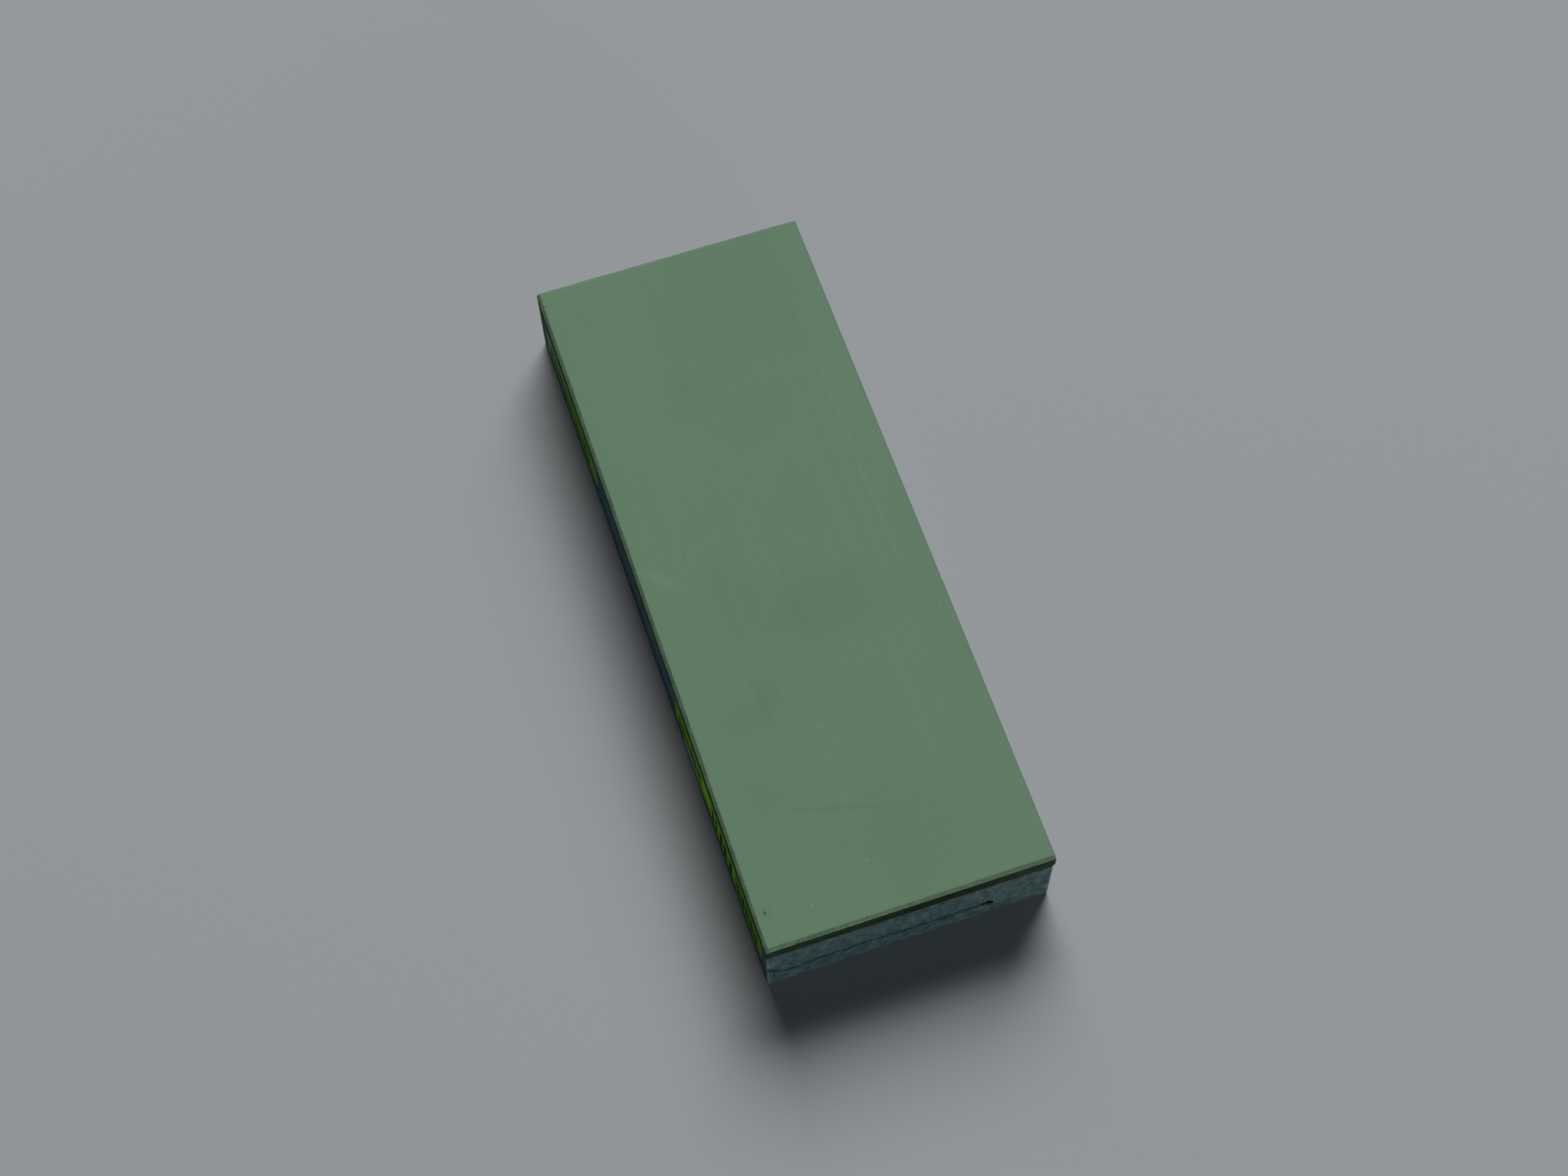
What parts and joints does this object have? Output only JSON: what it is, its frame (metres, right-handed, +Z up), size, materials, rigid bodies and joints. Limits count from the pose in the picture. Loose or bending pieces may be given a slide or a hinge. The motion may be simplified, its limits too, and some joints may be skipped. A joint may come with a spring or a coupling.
{
  "type": "sharpening whetstone",
  "caption": "Bench whetstone: a thin fine-grit stone with a bevelled face, bonded on a thick coarser stone that carries paper labels on one side.",
  "frame": {"origin": "on the resting face, below the middle of the fine stone", "axes": "+X along the stone's length, towards the end with the casting void; +Z up, out of the sharpening face; the labelled side faces -Y"},
  "size_m": [0.2024, 0.0763, 0.0254],
  "materials": {
    "fine_grit": "matt, smooth, fine-grained sage green",
    "adhesive": "matt, near black",
    "coarse_grit": "matt, grainy, mottled blue-grey",
    "label_paper": "coated, satin, lime green"
  },
  "bodies": {
    "root": {"fine_stone": "fine_grit", "bond_film": "adhesive", "backing_stone": "coarse_grit", "near_label": "label_paper", "far_label": "label_paper"}
  },
  "joints": []
}
